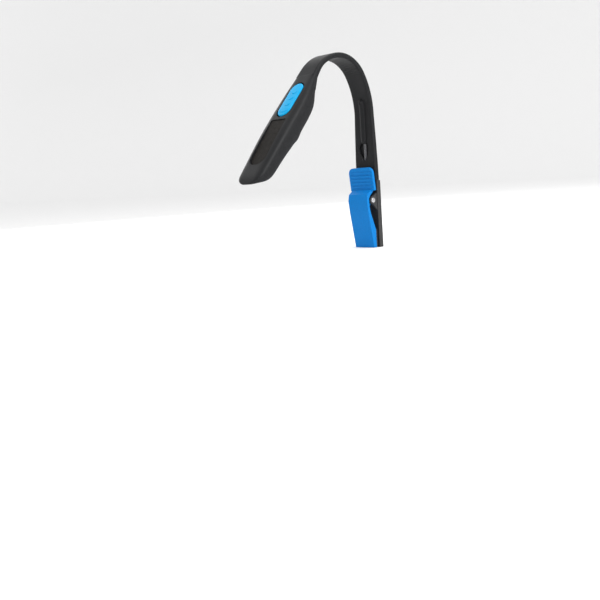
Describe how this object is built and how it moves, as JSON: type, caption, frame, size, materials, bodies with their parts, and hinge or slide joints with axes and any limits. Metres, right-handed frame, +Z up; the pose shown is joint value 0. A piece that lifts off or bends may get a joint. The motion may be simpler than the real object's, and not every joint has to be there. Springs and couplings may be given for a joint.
{
  "type": "clip on reading lamp",
  "caption": "Clip on reading lamp with a spring clip, a bendable strap neck arched over the page and a slim battery head with a push button.",
  "frame": {"origin": "middle of the line where the two jaw pads meet, at the level where the clip grips", "axes": "+Z up along the clip's upright, +X across the lamp's width, -Y forward, the way that the neck arches towards the reader"},
  "size_m": [0.028, 0.1299, 0.1484],
  "materials": {
    "soft_touch": "satin",
    "frame_plastic": "fine grain",
    "shell_plastic": "satin soft touch paint",
    "lever_blue": "satin",
    "button_blue": "satin",
    "inlay_rubber": "matt",
    "pad_rubber": "matt",
    "core_steel": "drawn",
    "spring_steel": "drawn",
    "pin_steel": "turned",
    "board": "solder mask",
    "switch_black": "moulded",
    "led_white": "clear resin over phosphor",
    "mirror_coat": "vacuum metallised plastic",
    "lens_clear": "polished",
    "cell_can": "brushed",
    "contact_metal": "stamped strip"
  },
  "bodies": {
    "base": {"base_frame": "frame_plastic", "base_overmould": "soft_touch", "neck_core_0": "core_steel", "strain_spring": "spring_steel", "pivot_pin": "pin_steel", "torsion_spring": "spring_steel", "rear_jaw_pad": "pad_rubber"},
    "lever": {"clip_lever": "lever_blue", "front_jaw_pad": "pad_rubber"},
    "neck_1": {"neck_sleeve_1": "soft_touch", "neck_core_1": "core_steel"},
    "neck_2": {"neck_sleeve_2": "soft_touch", "neck_core_2": "core_steel"},
    "neck_3": {"neck_sleeve_3": "soft_touch", "neck_core_3": "core_steel"},
    "head": {"neck_sleeve_4": "soft_touch", "neck_core_4": "core_steel", "head_cover": "shell_plastic", "head_base": "shell_plastic", "grip_inlay": "inlay_rubber", "core_ferrule": "pin_steel", "circuit_board": "board", "tact_switch": "switch_black", "resistors": "switch_black", "led": "led_white", "reflector": "mirror_coat", "lens": "lens_clear", "coin_cell_inner": "cell_can", "coin_cell_outer": "cell_can", "contact_leaf": "contact_metal", "contact_rim": "contact_metal", "head_screws": "pin_steel"},
    "button": {"power_button": "button_blue"},
    "door": {"battery_door": "shell_plastic"}
  },
  "joints": [
    {"name": "clip_hinge", "type": "hinge", "parent": "base", "child": "lever", "pos_m": [0, -0.0036, 0.031], "axis": [-1, 0, 0], "range_deg": [0, 8], "stiffness_Nm_per_rad": 0.15, "springref_deg": -28.65, "deforming": ["torsion_spring"]},
    {"name": "neck_bend_1", "type": "hinge", "parent": "base", "child": "neck_1", "pos_m": [0, 0.00113, 0.11204], "axis": [1, 0, 0], "range_deg": [-45, 12]},
    {"name": "neck_bend_2", "type": "hinge", "parent": "neck_1", "child": "neck_2", "pos_m": [0, -0.00832, 0.13171], "axis": [1, 0, 0], "range_deg": [-45, 12]},
    {"name": "neck_bend_3", "type": "hinge", "parent": "neck_2", "child": "neck_3", "pos_m": [0, -0.02782, 0.14045], "axis": [1, 0, 0], "range_deg": [-45, 12]},
    {"name": "neck_bend_4", "type": "hinge", "parent": "neck_3", "child": "head", "pos_m": [0, -0.04817, 0.13329], "axis": [1, 0, 0], "range_deg": [-45, 12]},
    {"name": "button_press", "type": "slide", "parent": "head", "child": "button", "axis": [0, 0.7431, -0.6691], "range_m": [0, 0.0006], "stiffness_N_per_m": 1500},
    {"name": "door_hinge", "type": "hinge", "parent": "head", "child": "door", "pos_m": [0, -0.06832, 0.09377], "axis": [1, 0, 0], "range_deg": [0, 95]}
  ]
}
